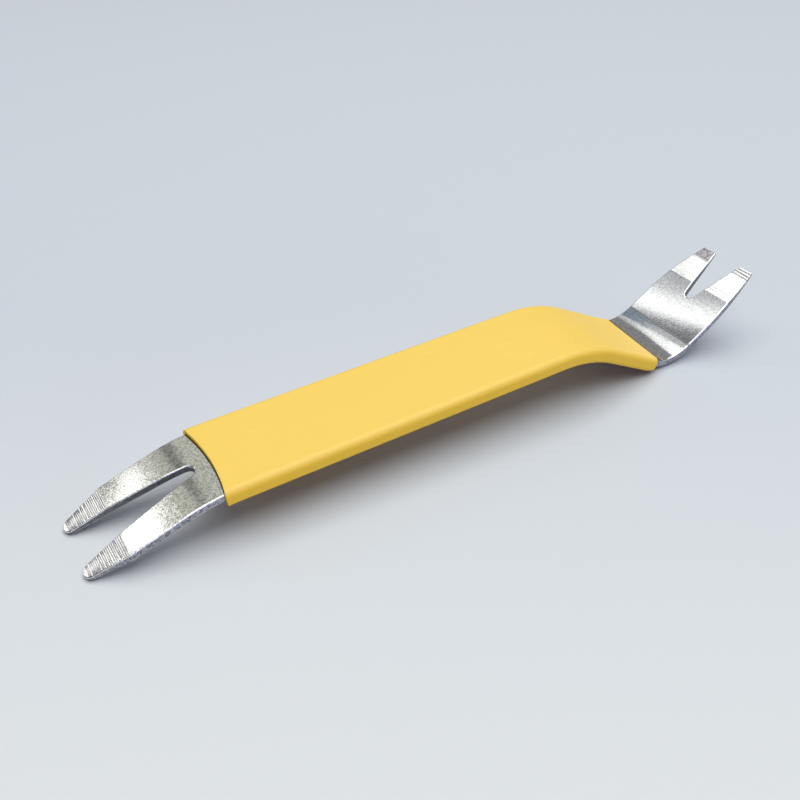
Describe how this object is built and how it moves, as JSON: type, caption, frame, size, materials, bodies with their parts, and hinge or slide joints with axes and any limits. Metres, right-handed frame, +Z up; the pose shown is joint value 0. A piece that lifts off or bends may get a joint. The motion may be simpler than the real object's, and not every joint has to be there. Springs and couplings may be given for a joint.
{
  "type": "trim removal tool",
  "caption": "Flat steel pry tool with a slotted fork at one end, a raised notched claw at the other and a soft plastic sleeve on its bent handle, for levering off trim panels and clips.",
  "frame": {"origin": "middle of the tool's box, on the surface that it lies on", "axes": "+X along the tool towards the raised claw, +Y across the strip, +Z up from the surface"},
  "size_m": [0.2012, 0.0274, 0.0206],
  "materials": {
    "plated_steel": "bright plated, finely mottled, with ground tips",
    "yellow_pvc": "satin soft PVC"
  },
  "bodies": {
    "root": {"steel_bar": "plated_steel", "grip_sleeve": "yellow_pvc"}
  },
  "joints": []
}
